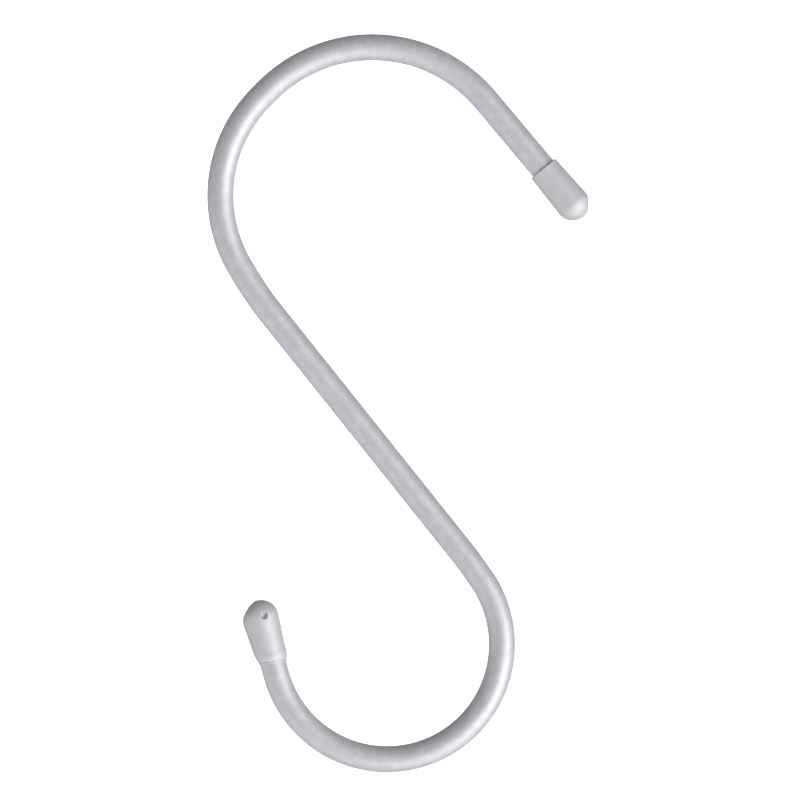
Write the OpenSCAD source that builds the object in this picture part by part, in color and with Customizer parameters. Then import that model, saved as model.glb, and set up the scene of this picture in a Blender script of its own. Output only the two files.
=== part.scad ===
// S hook bent from one length of round wire, with a push-on cap over each cut end.
// The hook hangs in the XZ plane, with +Z up and +X towards the free end of the upper hook.
// The origin is the top of the upper hook's inside, where a rail carries the wire.

/* [Wire] */
// Diameter of the finished wire
wire_d = 4.2; // [3.6:0.1:4.8]
// Diameter that the wire loses where it is drawn round a bend
bend_thinning = 0.01; // [0.01:0.01:0.05]
// Chamfer round each cut end
end_chamfer = 0.4; // [0.2:0.1:0.8]

/* [Upper hook] */
// Inside radius of the crown, which rests on the rail
crown_inner_r = 21.4; // [18:0.2:24]
// Angle of the crown from its top towards the shank
crown_back_angle = 45; // [35:1:55]
// Angle of the crown from its top towards the free end
crown_front_angle = 50; // [40:1:60]
// Straight wire between the crown and the shoulder
crown_feed = 1.4; // [0.6:0.2:4]
// Inside radius of the shoulder, between the crown and the shank
shoulder_inner_r = 20; // [17:0.5:23]
// Angle that the shoulder turns through
shoulder_angle = 76; // [68:1:84]
// Straight wire from the crown to the upper cut end
upper_end_l = 21.7; // [14:0.1:26]

/* [Shank] */
// Length of the straight shank
shank_l = 48.6; // [40:0.2:60]
// Inside radius of the slight ease at each end of the shank
ease_inner_r = 48; // [30:1:70]
// Angle that the ease above the shank turns through
upper_ease_angle = 7.6; // [4:0.2:12]
// Angle that the ease below the shank turns through
lower_ease_angle = 3.6; // [2:0.2:8]
// Straight wire between each ease and the bend beyond it
ease_feed = 2; // [0.6:0.2:4]

/* [Lower hook] */
// Inside radius of the bowl, which carries the load
bowl_inner_r = 16.1; // [14:0.1:19]
// Angle that the bowl turns through
bowl_angle = 199.3; // [185:0.1:210]
// Straight wire from the bowl to the lower cut end
lower_end_l = 10; // [8:0.1:14]

/* [End caps] */
// Length of a cap from its rim to its tip
cap_l = 10; // [8.5:0.1:13]
// Wall at the rim
cap_rim_wall = 0.38; // [0.3:0.02:0.6]
// Wall at the root of the domed head
cap_head_wall = 0.71; // [0.5:0.01:1]
// Solid tip beyond the end of the wire
cap_tip = 2.5; // [1.5:0.1:3.5]
// Gap all round between the wire and the bore of a cap
cap_gap = 0.02; // [0.01:0.01:0.05]

/* [Dent in the lower cap] */
// Width of the dent, which the mould's gate left near the root of the domed head
dent_d = 1; // [0.6:0.1:1.6]
// Depth of the dent
dent_depth = 0.45; // [0.2:0.05:0.6]
// Distance from the root of the domed head up to the middle of the dent
dent_rise = 0.2; // [-0.4:0.1:0.6]
// Angle of the dent round the cap from the front
dent_angle = 13; // [-30:1:30]

/* [Hidden] */
$fn = 96;

wire_r = wire_d / 2;
// Each bend runs this far into the straight wire at both its ends, so that the wire is one solid
bend_lap = 0.05;
crown_r = crown_inner_r + wire_r;

// The wire from the crown to each cut end. A run is a straight length, then a bend:
// [length, inside radius, angle], where a positive angle turns left from the way the wire goes
back_runs = [
    [crown_feed, shoulder_inner_r, shoulder_angle],
    [ease_feed, ease_inner_r, upper_ease_angle],
    [shank_l, ease_inner_r, -lower_ease_angle],
    [ease_feed, bowl_inner_r, -bowl_angle],
];
front_runs = [];

cap_bore_r = wire_r + cap_gap;
cap_bore_l = cap_l - cap_tip;
cap_head_r = cap_bore_r + cap_head_wall;
dome_z = cap_l - cap_head_r;
// The rim ends in a full round, and the side is a cone that meets it and the dome smoothly
lip_r = cap_rim_wall / 2;
lip_at = [cap_bore_r + lip_r, lip_r];
side_angle = atan2(dome_z - lip_at.y, lip_at.x)
    - acos((cap_head_r - lip_r) / norm([lip_at.x, dome_z - lip_at.y]));
side_normal = [cos(side_angle), -sin(side_angle)];

// The dent is the bite of a ball of this radius
dent_ball_r = (pow(dent_d / 2, 2) + pow(dent_depth, 2)) / (2 * dent_depth);

function first(runs, count) = [for (i = [0 : 1 : count - 1]) runs[i]];

// Straight wire along +Y
module straight(length) {
    rotate([-90, 0, 0])
        cylinder(h = length, r = wire_r);
}

// Straight wire along +Y that ends in a chamfered cut
module cut_end(length) {
    straight(length - end_chamfer);
    translate([0, length - end_chamfer, 0])
        rotate([-90, 0, 0])
            cylinder(h = end_chamfer, r1 = wire_r, r2 = wire_r - end_chamfer);
}

// Bend that leaves the origin along +Y
module bend(radius, angle) {
    lap_angle = bend_lap * 180 / PI / radius;
    rotate([0, angle < 0 ? 180 : 0, 0])
        translate([-radius, 0, 0])
            rotate_extrude(start = -lap_angle, angle = abs(angle) + 2 * lap_angle)
                translate([radius, 0])
                    circle(d = wire_d - bend_thinning);
}

// Moves children from the start of a bend to its far end
module past_bend(radius, angle) {
    centre_x = angle < 0 ? radius : -radius;
    translate([centre_x, 0, 0])
        rotate([0, 0, angle])
            translate([-centre_x, 0, 0])
                children();
}

// Moves children to the far end of some runs
module follow(runs, i = 0) {
    if (i < len(runs))
        translate([0, runs[i][0], 0])
            past_bend(runs[i][1] + wire_r, runs[i][2])
                follow(runs, i + 1)
                    children();
    else
        children();
}

// Wire through some runs, and on to its cut end
module lay(runs, end_l) {
    for (i = [0 : 1 : len(runs) - 1])
        follow(first(runs, i)) {
            straight(runs[i][0]);
            translate([0, runs[i][0], 0])
                bend(runs[i][1] + wire_r, runs[i][2]);
        }
    follow(runs)
        cut_end(end_l);
}

// Stands what is drawn in the XY plane up in the XZ plane, hung by the inside of the crown
module hung() {
    rotate([90, 0, 0])
        translate([0, wire_r, 0])
            children();
}

// Moves children to the end of the crown that faces the shank
module behind_crown() {
    rotate([0, 0, 90])
        past_bend(crown_r, crown_back_angle)
            children();
}

// Moves children to the end of the crown that faces the free end
module before_crown() {
    rotate([0, 0, -90])
        past_bend(crown_r, -crown_front_angle)
            children();
}

module bent_wire() {
    color("silver")
        hung() {
            before_crown()
                rotate([0, 0, 180])
                    bend(crown_r, crown_front_angle + crown_back_angle);
            behind_crown()
                lay(back_runs, lower_end_l);
            before_crown()
                lay(front_runs, upper_end_l);
        }
}

// Half section of a cap without its bore, with the rim at the bottom
module cap_section() {
    intersection() {
        union() {
            translate([0, dome_z])
                circle(r = cap_head_r);
            translate(lip_at)
                circle(r = lip_r);
            polygon([
                [0, lip_at.y],
                lip_at,
                lip_at + lip_r * side_normal,
                [0, dome_z] + cap_head_r * side_normal,
                [0, dome_z],
            ]);
        }
        square([2 * cap_head_r, cap_l]);
    }
}

module end_cap() {
    difference() {
        rotate_extrude()
            cap_section();
        translate([0, 0, -lip_r])
            cylinder(h = cap_bore_l + lip_r, r = cap_bore_r);
    }
}

// Moves a cap from the origin on to the cut end of the wire beyond some runs
module on_cut_end(runs, end_l) {
    follow(runs)
        translate([0, end_l - cap_bore_l, 0])
            rotate([-90, 0, 0])
                children();
}

module upper_end_cap() {
    color("lightgray")
        hung()
            before_crown()
                on_cut_end(front_runs, upper_end_l)
                    end_cap();
}

module lower_end_cap() {
    color("lightgray")
        hung()
            behind_crown()
                on_cut_end(back_runs, lower_end_l)
                    difference() {
                        end_cap();
                        rotate([0, 0, dent_angle])
                            translate([0, dent_depth - dent_ball_r - cap_head_r, dome_z + dent_rise])
                                sphere(r = dent_ball_r);
                    }
}

bent_wire();
upper_end_cap();
lower_end_cap();
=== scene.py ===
"""Looks of an S hook: one bent, coated wire with a moulded cap pushed over each cut end.

The hook hangs in the XZ plane from the inside of its crown, which is the origin. Sizes are
in metres and angles in degrees. A heading is the way the wire runs, turned from +X towards +Z.
"""

import logging
import math
from collections.abc import Callable, Iterable
from dataclasses import dataclass, field
from enum import Enum

import bpy
from mathutils import Matrix, Vector


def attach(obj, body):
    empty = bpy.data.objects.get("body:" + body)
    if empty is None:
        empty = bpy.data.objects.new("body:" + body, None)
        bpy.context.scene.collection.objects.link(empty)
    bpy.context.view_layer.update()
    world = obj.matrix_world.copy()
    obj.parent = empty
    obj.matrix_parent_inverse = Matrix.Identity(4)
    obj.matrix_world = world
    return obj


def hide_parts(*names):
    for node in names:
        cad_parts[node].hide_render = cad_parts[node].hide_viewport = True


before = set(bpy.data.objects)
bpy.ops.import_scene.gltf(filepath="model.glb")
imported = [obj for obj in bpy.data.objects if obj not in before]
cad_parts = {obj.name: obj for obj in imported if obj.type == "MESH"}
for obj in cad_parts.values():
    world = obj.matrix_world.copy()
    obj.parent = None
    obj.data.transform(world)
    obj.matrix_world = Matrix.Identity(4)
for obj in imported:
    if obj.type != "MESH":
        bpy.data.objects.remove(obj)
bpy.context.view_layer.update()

MM = 0.001
BODY = "root"
WHITE = "#FFFFFF"
QUARTER_TURN = 90
HALF_TURN = 180
# The discs that end the wire and the room are the only faces with more sides than this
QUAD_SIDES = 4

log = logging.getLogger("s_hook")


def linear(hex_colour: str) -> tuple[float, float, float, float]:
    """Turns an sRGB hex colour into the linear colour that a shader takes.

    Args:
        hex_colour: Six hex digits after a hash sign.

    Returns:
        Linear red, green and blue, and an alpha of one.
    """
    parts = [part / 255 for part in bytes.fromhex(hex_colour.lstrip("#"))]
    # The curve of the sRGB standard
    red, green, blue = (
        p / 12.92 if p <= 0.04045 else ((p + 0.055) / 1.055) ** 2.4 for p in parts
    )
    return red, green, blue, 1.0


def add_node(
    tree: bpy.types.NodeTree,
    kind: str,
    settings: dict[str, object] | None = None,
    links: dict[str, bpy.types.NodeSocket] | None = None,
) -> bpy.types.Node:
    """Adds one node to a tree, sets it up and links its inputs.

    Args:
        tree: The node tree.
        kind: The node's type name.
        settings: Values by the name of an input or, where no input has it, of an attribute.
        links: The socket that feeds each named input.

    Returns:
        The new node.
    """
    node = tree.nodes.new(kind)
    for name, value in (settings or {}).items():
        if name in node.inputs:
            node.inputs[name].default_value = value
        else:
            setattr(node, name, value)
    for name, socket in (links or {}).items():
        tree.links.new(socket, node.inputs[name])
    return node


# Finishes


@dataclass(frozen=True)
class Finish:
    """A procedural finish: a fine grain of tone, a sheen that varies and a fine relief."""

    name: str
    slot: str
    colour: str
    shade_colour: str
    metallic: float
    roughness: float
    roughness_spread: float
    ior: float
    # Width of one patch of the tone, of the sheen and of the relief, and height of the relief
    grain_width: float
    mottle_width: float
    relief_width: float
    relief_height: float
    # How many finer layers each pattern has, and how strong those of the grain are
    grain_detail: float = 4.0
    grain_sharpness: float = 0.8
    mottle_detail: float = 1.0
    relief_detail: float = 1.0
    # Shares of the grain's range at which it is all shade, and all colour
    shade_at: float = 0.3
    colour_at: float = 0.7

    def material(self) -> bpy.types.Material:
        """Makes the finish.

        Returns:
            The material, with its patterns on the piece's own coordinates.
        """
        made = bpy.data.materials.new(self.name)
        made.use_nodes = True
        tree = made.node_tree
        shader = tree.nodes["Principled BSDF"]
        shader.inputs["Metallic"].default_value = self.metallic
        shader.inputs["IOR"].default_value = self.ior
        place = add_node(tree, "ShaderNodeTexCoord").outputs["Object"]

        grain = add_node(
            tree,
            "ShaderNodeTexNoise",
            {
                "Scale": 1 / self.grain_width,
                "Detail": self.grain_detail,
                "Roughness": self.grain_sharpness,
            },
            {"Vector": place},
        )
        tone = add_node(
            tree, "ShaderNodeValToRGB", links={"Fac": grain.outputs["Fac"]}
        )
        shade_stop, colour_stop = tone.color_ramp.elements
        shade_stop.color = linear(self.shade_colour)
        shade_stop.position = self.shade_at
        colour_stop.color = linear(self.colour)
        colour_stop.position = self.colour_at
        tree.links.new(tone.outputs["Color"], shader.inputs["Base Color"])

        mottle = add_node(
            tree,
            "ShaderNodeTexNoise",
            {"Scale": 1 / self.mottle_width, "Detail": self.mottle_detail},
            {"Vector": place},
        )
        sheen = add_node(
            tree,
            "ShaderNodeMapRange",
            {
                "To Min": self.roughness - self.roughness_spread,
                "To Max": self.roughness + self.roughness_spread,
            },
            {"Value": mottle.outputs["Fac"]},
        )
        tree.links.new(sheen.outputs["Result"], shader.inputs["Roughness"])

        relief = add_node(
            tree,
            "ShaderNodeTexNoise",
            {"Scale": 1 / self.relief_width, "Detail": self.relief_detail},
            {"Vector": place},
        )
        bump = add_node(
            tree,
            "ShaderNodeBump",
            {"Distance": self.relief_height},
            {"Height": relief.outputs["Fac"]},
        )
        tree.links.new(bump.outputs["Normal"], shader.inputs["Normal"])
        return made


@dataclass(frozen=True)
class SatinCoatedSteel(Finish):
    """Steel wire with a baked satin coat, silver from fine aluminium flake in a clear binder.

    The flake spreads each light into a broad soft sheen with a slight speckle, and the coat
    sets with a faint orange peel, about half a millimetre from crest to crest.
    """

    name: str = "satin_coated_steel"
    slot: str = "coated_wire"
    colour: str = "#C6C7CC"
    shade_colour: str = "#B4B5BA"
    metallic: float = 0.35
    roughness: float = 0.5
    roughness_spread: float = 0.03
    ior: float = 1.5
    # A flake is some 0.03 mm wide, too fine to show, so grain and mottle are drawn coarser
    grain_width: float = 1.4 * MM
    mottle_width: float = 0.4 * MM
    relief_width: float = 0.45 * MM
    relief_height: float = 0.005 * MM


@dataclass(frozen=True)
class MouldedPolythene(Finish):
    """Polythene coloured silver grey, injection moulded in a lightly blasted steel mould.

    The soft plastic takes a smooth, slightly waxy sheen from the mould, with a relief so
    fine that it only softens the edges of a highlight. Its pigment clouds the tone a little.
    """

    name: str = "moulded_polythene"
    slot: str = "cap_plastic"
    colour: str = "#C1C2C5"
    shade_colour: str = "#B5B6B9"
    metallic: float = 0.2
    roughness: float = 0.5
    roughness_spread: float = 0.03
    ior: float = 1.51
    # The blasting grit is some 0.1 mm, too fine to show, so its patterns are drawn coarser
    grain_width: float = 1.2 * MM
    mottle_width: float = 0.5 * MM
    relief_width: float = 0.5 * MM
    relief_height: float = 0.003 * MM


# Modelling


class CutEnd(Enum):
    """The two cut ends of the wire."""

    UPPER = "upper"
    LOWER = "lower"


def along(heading: float) -> Vector:
    """Gives the unit vector of a heading in the XZ plane."""
    turned = math.radians(heading)
    return Vector((math.cos(turned), 0, math.sin(turned)))


def facing(around: float, up: float) -> Vector:
    """Finds a direction out of an upright thing that faces the front, which is -Y.

    Args:
        around: Angle from the front towards the right, which is +X.
        up: Angle up from level.

    Returns:
        The unit vector.
    """
    aside, rise = math.radians(around), math.radians(up)
    return Vector(
        (
            math.cos(rise) * math.sin(aside),
            -math.cos(rise) * math.cos(aside),
            math.sin(rise),
        )
    )


@dataclass
class Travel:
    """How far the wire has got in the XZ plane, and which way it runs on."""

    at: Vector
    heading: float

    def ahead(self) -> Vector:
        """Gives the unit vector along the wire."""
        return along(self.heading)

    def bend_centre(self, radius: float, angle: float) -> Vector:
        """Finds the centre of a bend that starts here.

        Args:
            radius: Radius of the bend to the middle of the wire.
            angle: Angle of the bend, positive to the left.

        Returns:
            The centre.
        """
        return self.at + radius * along(self.heading + math.copysign(QUARTER_TURN, angle))

    def feed(self, length: float) -> None:
        """Runs straight on."""
        self.at = self.at + length * self.ahead()

    def bend(self, radius: float, angle: float) -> None:
        """Runs round a bend.

        Args:
            radius: Radius of the bend to the middle of the wire.
            angle: Angle of the bend, positive to the left.
        """
        centre = self.bend_centre(radius, angle)
        turn = Matrix.Rotation(-math.radians(angle), 3, "Y")
        self.at = centre + turn @ (self.at - centre)
        self.heading += angle

    def tilt(self) -> float:
        """Gives the turn about Y, in radians, that lays +Z along the wire."""
        return math.radians(QUARTER_TURN - self.heading)


def start_piece(name: str, add_primitive: Callable[[], object]) -> bpy.types.Object:
    """Adds a primitive with nothing else selected, and opens it for modelling.

    Args:
        name: The piece's name.
        add_primitive: Adds the primitive.

    Returns:
        The piece, in edit mode, with its place in its mesh and all of it selected.
    """
    bpy.ops.object.select_all(action="DESELECT")
    add_primitive()
    piece = bpy.context.object
    piece.name = name
    piece.data.name = name
    bpy.ops.object.transform_apply(location=True, rotation=True, scale=True)
    bpy.ops.object.mode_set(mode="EDIT")
    bpy.ops.mesh.select_all(action="SELECT")
    return piece


def select_corners(
    piece: bpy.types.Object,
    pick: Callable[[bpy.types.MeshVertices], Iterable[bpy.types.MeshVertex]],
) -> None:
    """Selects some corners of a piece, and nothing else.

    Args:
        piece: The piece, in edit mode.
        pick: Picks the corners to select from all those of the piece.
    """
    bpy.ops.mesh.select_all(action="DESELECT")
    bpy.ops.object.mode_set(mode="OBJECT")
    for corner in pick(piece.data.vertices):
        corner.select = True
    bpy.ops.object.mode_set(mode="EDIT")


def finish_piece(piece: bpy.types.Object, sharp_from: float) -> None:
    """Ends the modelling of a piece and shades it smooth.

    Args:
        piece: The piece, in edit mode.
        sharp_from: Edges that turn further than this angle stay sharp.
    """
    bpy.ops.object.mode_set(mode="OBJECT")
    bpy.ops.object.shade_smooth_by_angle(angle=math.radians(sharp_from))
    piece.data.validate()


def dress(piece: bpy.types.Object, finish: Finish, node: str) -> None:
    """Gives a piece its finish, and lets it stand for its CAD node.

    Args:
        piece: The piece, at rest.
        finish: Its finish.
        node: The CAD node that it replaces.
    """
    piece.data.materials.clear()
    piece.data.materials.append(finish.material())
    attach(piece, BODY)
    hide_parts(node)
    log.info(
        "%s: %d faces in %s, in place of %s",
        piece.name,
        len(piece.data.polygons),
        finish.name,
        node,
    )


@dataclass(frozen=True)
class Bend:
    """One bend of the wire, and the straight feed before it."""

    feed: float
    inner_r: float
    angle: float


@dataclass(frozen=True)
class BentWire:
    """The wire, bent in one go from the upper cut end to the lower one."""

    wire_d: float = 4.2 * MM
    end_chamfer: float = 0.4 * MM
    crown_inner_r: float = 21.4 * MM
    crown_front_angle: float = 50
    crown_back_angle: float = 45
    upper_end_l: float = 21.7 * MM
    lower_end_l: float = 10 * MM
    # Shoulder, ease above the shank, ease below the shank, and bowl
    bends: tuple[Bend, ...] = (
        Bend(feed=1.4 * MM, inner_r=20 * MM, angle=76),
        Bend(feed=2 * MM, inner_r=48 * MM, angle=7.6),
        Bend(feed=48.6 * MM, inner_r=48 * MM, angle=-3.6),
        Bend(feed=2 * MM, inner_r=16.1 * MM, angle=-199.3),
    )
    sides: int = 72
    bend_step: float = 0.7 * MM
    feed_step: float = 3 * MM
    sharp_from: float = 35
    finish: Finish = SatinCoatedSteel()

    def build(self) -> None:
        """Models the wire and dresses it."""
        dress(self.model(), self.finish, "bent_wire")

    def past_crown(self, heading: float, angle: float) -> Travel:
        """Travels from the top of the crown to one end of it.

        Args:
            heading: Heading at the top.
            angle: Angle of the crown from its top to that end, positive to the left.

        Returns:
            The end of the crown.
        """
        run = Travel(Vector((0, 0, self.wire_d / 2)), heading)
        run.bend(self.crown_inner_r + self.wire_d / 2, angle)
        return run

    def cut_end(self, end: CutEnd) -> Travel:
        """Finds a cut end of the wire.

        Args:
            end: The cut end.

        Returns:
            The middle of the cut, headed out of the wire.
        """
        if end is CutEnd.UPPER:
            run = self.past_crown(0, -self.crown_front_angle)
            run.feed(self.upper_end_l)
            return run
        run = self.past_crown(HALF_TURN, self.crown_back_angle)
        for bend in self.bends:
            run.feed(bend.feed)
            run.bend(bend.inner_r + self.wire_d / 2, bend.angle)
        run.feed(self.lower_end_l)
        return run

    def model(self) -> bpy.types.Object:
        """Models the wire from a disc at the upper cut end, by feeds and bends.

        Returns:
            The finished piece.
        """
        cut = self.cut_end(CutEnd.UPPER)
        run = Travel(cut.at, cut.heading + HALF_TURN)
        piece = start_piece(
            "coated_bent_wire",
            lambda: bpy.ops.mesh.primitive_circle_add(
                vertices=self.sides,
                radius=self.wire_d / 2,
                fill_type="NGON",
                location=run.at,
                rotation=(0, run.tilt(), 0),
            ),
        )
        bpy.ops.mesh.select_mode(type="FACE")
        bpy.ops.mesh.select_all(action="SELECT")
        crown = Bend(
            feed=self.upper_end_l,
            inner_r=self.crown_inner_r,
            angle=self.crown_front_angle + self.crown_back_angle,
        )
        for bend in (crown, *self.bends):
            self.feed_on(run, bend.feed)
            self.bend_on(run, bend.inner_r + self.wire_d / 2, bend.angle)
        self.feed_on(run, self.lower_end_l)

        bpy.ops.mesh.select_all(action="SELECT")
        bpy.ops.mesh.normals_make_consistent(inside=False)
        bpy.ops.mesh.select_all(action="DESELECT")
        bpy.ops.mesh.select_face_by_sides(number=QUAD_SIDES, type="GREATER")
        bpy.ops.mesh.bevel(offset=self.end_chamfer, segments=1, affect="EDGES")
        finish_piece(piece, self.sharp_from)
        return piece

    def feed_on(self, run: Travel, length: float) -> None:
        """Draws the selected end face straight on, in even steps.

        Args:
            run: Where the wire has got to, which is moved on.
            length: Length of the straight.
        """
        steps = math.ceil(length / self.feed_step)
        for _ in range(steps):
            bpy.ops.mesh.extrude_region_move(
                TRANSFORM_OT_translate={"value": length / steps * run.ahead()}
            )
        run.feed(length)

    def bend_on(self, run: Travel, radius: float, angle: float) -> None:
        """Spins the selected end face round a bend.

        Args:
            run: Where the wire has got to, which is moved on.
            radius: Radius of the bend to the middle of the wire.
            angle: Angle of the bend, positive to the left.
        """
        bpy.ops.mesh.spin(
            steps=math.ceil(radius * math.radians(abs(angle)) / self.bend_step),
            angle=math.radians(abs(angle)),
            center=run.bend_centre(radius, angle),
            axis=(0, math.copysign(1, angle), 0),
        )
        run.bend(radius, angle)


class Falloff(Enum):
    """How a push on the soft wall of a cap falls off around its point."""

    GENTLE = "SMOOTH"
    ROUND = "SPHERE"


@dataclass(frozen=True)
class Push:
    """A push into the domed head of a cap, towards the middle of its root."""

    # Round the cap, from its front towards its right
    around: float
    # From the root of the head towards the tip
    up: float
    depth: float
    # Distance over the wall at which the push has died away
    reach: float
    falloff: Falloff


@dataclass(frozen=True)
class EndCap:
    """A cap that is pushed over a cut end: a rounded rim, a slight taper and a domed head."""

    end: CutEnd
    length: float
    head_r: float
    dome_h: float
    # Wall above the flare that the rim ends in, and the length of that flare
    rim_wall: float
    flare_l: float
    # Thickness of the lip at the rim, and depth of the groove that sets it off
    lip: float
    groove: float
    # Angle that draws the left of the rim up towards the tip, and how far up the wall it pulls
    skew: float = 0
    skew_reach: float = 2 * MM
    pushes: tuple[Push, ...] = ()
    bore_r: float = 2.12 * MM
    bore_l: float = 7.5 * MM
    groove_w: float = 0.6 * MM
    sides: int = 160
    lip_steps: int = 6
    flare_steps: int = 24
    side_steps: int = 36
    dome_steps: int = 28
    # Size of the face that is drawn together to the point where the section starts
    seed: float = 0.1 * MM
    # Corners that lie closer than this after the spin are one
    merge_within: float = 0.001 * MM
    sharp_from: float = 50
    finish: Finish = MouldedPolythene()

    @property
    def dome_z(self) -> float:
        """Gives the height of the root of the head, where the dome is widest."""
        return self.length - self.dome_h

    def build(self, wire: BentWire) -> None:
        """Models the cap on the wire and dresses it.

        Args:
            wire: The wire that carries the cap.
        """
        dress(self.model(wire), self.finish, f"{self.end.value}_end_cap")

    def profile(self) -> list[Vector]:
        """Draws half the section of the cap, from the end of its bore round to its tip.

        Returns:
            Points in the XZ plane, with the rim at height zero and the axis along +Z.
        """
        bore = [Vector((0, 0, self.bore_l)), Vector((self.bore_r, 0, self.bore_l))]
        rim = self.lip_points() + self.flare_points()
        dome = self.dome_points()
        side = [
            rim[-1].lerp(dome[0], i / self.side_steps)
            for i in range(1, self.side_steps)
        ]
        return bore + rim + side + dome

    def lip_points(self) -> list[Vector]:
        """Draws the lip, which turns outwards from the bore in a half round.

        Returns:
            Points from the bore to the outside of the lip.
        """
        lip_r = self.lip / 2
        middle = Vector((self.bore_r + lip_r, 0, lip_r))
        turns = [math.pi * i / self.lip_steps for i in range(self.lip_steps + 1)]
        return [middle + lip_r * Vector((-math.cos(t), 0, -math.sin(t))) for t in turns]

    def flare_points(self) -> list[Vector]:
        """Draws the flare, which swells from the lip as a sine does, less the groove.

        Returns:
            Points from above the lip to the end of the flare.
        """
        lip_r = self.lip / 2
        points = []
        for i in range(1, self.flare_steps + 1):
            share = i / self.flare_steps
            height = lip_r + share * (self.flare_l - lip_r)
            across = min((height - lip_r) / self.groove_w, 1)
            swell = (self.rim_wall - self.lip) * math.sin(share * math.pi / 2)
            sunk = self.groove * (1 - math.cos(math.tau * across)) / 2
            points.append(Vector((self.bore_r + self.lip + swell - sunk, 0, height)))
        return points

    def dome_points(self) -> list[Vector]:
        """Draws the dome, which is an ellipse that meets the side smoothly.

        Returns:
            Points from the top of the side to the tip.
        """
        rim_r = self.bore_r + self.rim_wall
        taper = math.atan2(self.head_r - rim_r, self.dome_z - self.flare_l)
        # The dome starts a little below its widest ring, where it leans as the side does
        start = -math.atan(self.dome_h / self.head_r * math.tan(taper))
        sweep = math.pi / 2 - start
        turns = [start + sweep * i / self.dome_steps for i in range(self.dome_steps + 1)]
        return [
            Vector((self.head_r * math.cos(t), 0, self.dome_z + self.dome_h * math.sin(t)))
            for t in turns
        ]

    def model(self, wire: BentWire) -> bpy.types.Object:
        """Turns the cap from its section, pushes its head in and seats it on the wire.

        Args:
            wire: The wire that carries the cap.

        Returns:
            The finished piece.
        """
        first, *rest = self.profile()
        piece = start_piece(
            f"moulded_{self.end.value}_cap",
            lambda: bpy.ops.mesh.primitive_plane_add(size=self.seed, location=first),
        )
        bpy.ops.mesh.merge(type="CENTER")
        bpy.ops.mesh.select_mode(type="VERT")
        bpy.ops.mesh.select_all(action="SELECT")
        last = first
        for point in rest:
            bpy.ops.mesh.extrude_region_move(
                TRANSFORM_OT_translate={"value": point - last}
            )
            last = point
        bpy.ops.mesh.select_all(action="SELECT")
        bpy.ops.mesh.spin(
            steps=self.sides, angle=math.tau, center=(0, 0, 0), axis=(0, 0, 1)
        )
        bpy.ops.mesh.select_all(action="SELECT")
        bpy.ops.mesh.remove_doubles(threshold=self.merge_within)
        bpy.ops.mesh.normals_make_consistent(inside=False)
        self.skew_rim(piece)
        for push in self.pushes:
            self.push_in(piece, push)
        finish_piece(piece, self.sharp_from)

        cut = wire.cut_end(self.end)
        piece.rotation_euler = (0, cut.tilt(), 0)
        piece.location = cut.at - self.bore_l * cut.ahead()
        bpy.ops.object.transform_apply(location=True, rotation=True, scale=True)
        return piece

    def skew_rim(self, piece: bpy.types.Object) -> None:
        """Turns the rim out of square with the axis, and the soft wall above it along.

        Args:
            piece: The cap, in edit mode.
        """
        select_corners(piece, lambda corners: [c for c in corners if c.co.z < self.lip])
        # With no window, this operator turns the other way
        bpy.ops.transform.rotate(
            value=-math.radians(self.skew),
            orient_axis="Y",
            orient_type="GLOBAL",
            center_override=(0, 0, 0),
            use_proportional_edit=True,
            proportional_edit_falloff=Falloff.GENTLE.value,
            proportional_size=self.skew_reach,
        )

    def push_in(self, piece: bpy.types.Object, push: Push) -> None:
        """Pushes the soft wall of the head in, before the cap is seated.

        Args:
            piece: The cap, in edit mode.
            push: The push.
        """
        outward = facing(push.around, push.up)
        at = Vector((0, 0, self.dome_z)) + self.head_r * outward
        select_corners(
            piece, lambda corners: [min(corners, key=lambda c: (c.co - at).length)]
        )
        bpy.ops.transform.translate(
            value=-push.depth * outward,
            use_proportional_edit=True,
            use_proportional_connected=True,
            proportional_edit_falloff=push.falloff.value,
            proportional_size=push.reach,
        )


@dataclass(frozen=True)
class Hook:
    """The whole hook."""

    wire: BentWire = BentWire()
    caps: tuple[EndCap, ...] = (
        EndCap(
            CutEnd.UPPER,
            length=10 * MM,
            head_r=2.74 * MM,
            dome_h=2.76 * MM,
            rim_wall=0.4 * MM,
            flare_l=0.8 * MM,
            lip=0.4 * MM,
            groove=0,
            bore_l=7.6 * MM,
            pushes=(
                # A shoulder that is squashed a little
                Push(
                    around=-90,
                    up=40,
                    depth=0.24 * MM,
                    reach=1.6 * MM,
                    falloff=Falloff.GENTLE,
                ),
            ),
        ),
        EndCap(
            CutEnd.LOWER,
            length=10.25 * MM,
            head_r=2.96 * MM,
            dome_h=2.75 * MM,
            rim_wall=0.45 * MM,
            flare_l=1.7 * MM,
            lip=0.15 * MM,
            groove=0.1 * MM,
            bore_l=7.9 * MM,
            skew=6.5,
            pushes=(
                # A squashed shoulder, and the pit that the mould's gate left
                Push(
                    around=-90,
                    up=42,
                    depth=0.42 * MM,
                    reach=3.2 * MM,
                    falloff=Falloff.GENTLE,
                ),
                Push(
                    around=16,
                    up=2.5,
                    depth=0.7 * MM,
                    reach=0.55 * MM,
                    falloff=Falloff.ROUND,
                ),
            ),
        ),
    )

    def build(self) -> None:
        """Builds the wire, and then the cap on each cut end."""
        self.wire.build()
        for cap in self.caps:
            cap.build(self.wire)


# Studio


@dataclass(frozen=True)
class SoftBox:
    """A round soft light, aimed at the middle of the hook."""

    name: str
    # From the front of the hook towards its right, and up from level
    azimuth: float
    elevation: float
    power: float
    size: float
    distance: float = 2.5

    def place(self, target: Vector) -> None:
        """Hangs the light in the studio.

        Args:
            target: The point that the light looks at.
        """
        away = facing(self.azimuth, self.elevation)
        lamp = bpy.data.lights.new(self.name, "AREA")
        lamp.shape = "DISK"
        lamp.size = self.size
        lamp.energy = self.power
        holder = bpy.data.objects.new(self.name, lamp)
        holder.location = target + self.distance * away
        holder.rotation_euler = away.to_track_quat("Z", "Y").to_euler()
        holder.visible_camera = False
        bpy.context.scene.collection.objects.link(holder)


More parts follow.
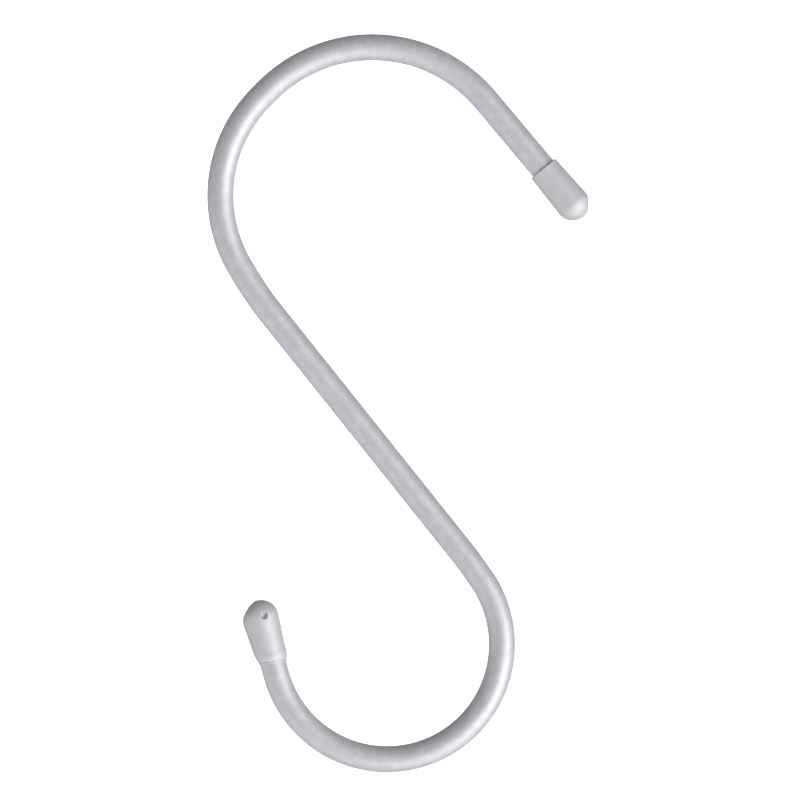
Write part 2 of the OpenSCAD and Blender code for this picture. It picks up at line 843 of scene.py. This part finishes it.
@dataclass(frozen=True)
class StudioPaint:
    """Matt white paint, lit so evenly that the room shows no edge and no shade."""

    name: str = "matt_white_studio_paint"
    colour: str = "#F4F4F4"
    roughness: float = 0.9
    glow: float = 1.0

    def material(self) -> bpy.types.Material:
        """Makes the paint.

        Returns:
            The material, which glows but lights nothing.
        """
        paint = bpy.data.materials.new(self.name)
        paint.use_nodes = True
        shader = paint.node_tree.nodes["Principled BSDF"]
        shader.inputs["Base Color"].default_value = linear(self.colour)
        shader.inputs["Roughness"].default_value = self.roughness
        shader.inputs["Emission Color"].default_value = linear(WHITE)
        shader.inputs["Emission Strength"].default_value = self.glow
        paint.cycles.emission_sampling = "NONE"
        return paint


@dataclass(frozen=True)
class Room:
    """A seamless round room: a pale floor that sweeps up into the walls and over."""

    radius: float = 2.2
    floor: float = -1.4
    height: float = 2.8
    cove_r: float = 0.9
    sides: int = 96
    cove_steps: int = 12
    sharp_from: float = 60
    paint: StudioPaint = StudioPaint()

    def build(self) -> None:
        """Models the room round the hook, paints it and lets only the camera see it."""
        room = start_piece(
            "studio_room",
            lambda: bpy.ops.mesh.primitive_cylinder_add(
                vertices=self.sides,
                radius=self.radius,
                depth=self.height,
                location=(0, 0, self.floor + self.height / 2),
            ),
        )
        bpy.ops.mesh.select_all(action="DESELECT")
        bpy.ops.mesh.select_face_by_sides(number=QUAD_SIDES, type="GREATER")
        bpy.ops.mesh.bevel(
            offset=self.cove_r, segments=self.cove_steps, affect="EDGES"
        )
        bpy.ops.mesh.select_all(action="SELECT")
        bpy.ops.mesh.flip_normals()
        finish_piece(room, self.sharp_from)
        room.data.materials.append(self.paint.material())
        # The lights stand outside the room and shine through it. They and the even white all
        # round shape the hook, and the room is only what the camera sees behind it
        room.visible_diffuse = False
        room.visible_glossy = False
        room.visible_shadow = False


@dataclass(frozen=True)
class Studio:
    """A white room with the hook hung in the middle, and its lights and camera."""

    target: Vector = field(default_factory=lambda: Vector((4.384 * MM, 0, -53.8 * MM)))
    # Width of the view at the hook, and distance from the hook to the lens
    view_width: float = 126.8 * MM
    camera_distance: float = 1.0
    sensor: float = 36.0
    sees_to: float = 10.0
    # Brightness of the white all round, which fills the shades
    ambient: float = 0.312
    room: Room = Room()
    # Two keys from the right, one from below and one from the left make the long soft sheen,
    # and the last lights the back of the hook
    lights: tuple[SoftBox, ...] = (
        SoftBox("key_right", azimuth=54, elevation=-12.2, power=36.6, size=2.4),
        SoftBox("key_front", azimuth=45, elevation=0, power=19.3, size=2.4),
        SoftBox("low", azimuth=35.5, elevation=-45.2, power=47.4, size=3.6),
        SoftBox("left", azimuth=-84.2, elevation=-29.9, power=49.5, size=5.0),
        SoftBox("backdrop", azimuth=180, elevation=0, power=29.3, size=1.9),
    )

    def build(self) -> None:
        """Sets up the room, the lights, the camera and the light all round."""
        self.room.build()
        for light in self.lights:
            light.place(self.target)
        self.camera()
        self.surround()

    def camera(self) -> None:
        """Sets a long lens level with the middle of the hook, square to its plane."""
        lens = bpy.data.cameras.new("camera")
        lens.sensor_width = self.sensor
        lens.lens = self.sensor * self.camera_distance / self.view_width
        lens.clip_end = self.sees_to
        camera = bpy.data.objects.new("camera", lens)
        camera.location = self.target + Vector((0, -self.camera_distance, 0))
        camera.rotation_euler = (math.radians(QUARTER_TURN), 0, 0)
        bpy.context.scene.collection.objects.link(camera)
        bpy.context.scene.camera = camera

    def surround(self) -> None:
        """Sets the even white light all round, and plain colours in the picture."""
        world = bpy.data.worlds.new("studio")
        world.use_nodes = True
        background = world.node_tree.nodes["Background"]
        background.inputs["Color"].default_value = linear(WHITE)
        background.inputs["Strength"].default_value = self.ambient
        bpy.context.scene.world = world
        bpy.context.scene.view_settings.view_transform = "Standard"


def main() -> None:
    """Builds the hook and its studio, and reports each piece."""
    logging.basicConfig(level=logging.INFO, format="%(name)s: %(message)s")
    Hook().build()
    Studio().build()


if __name__ == "__main__":
    main()
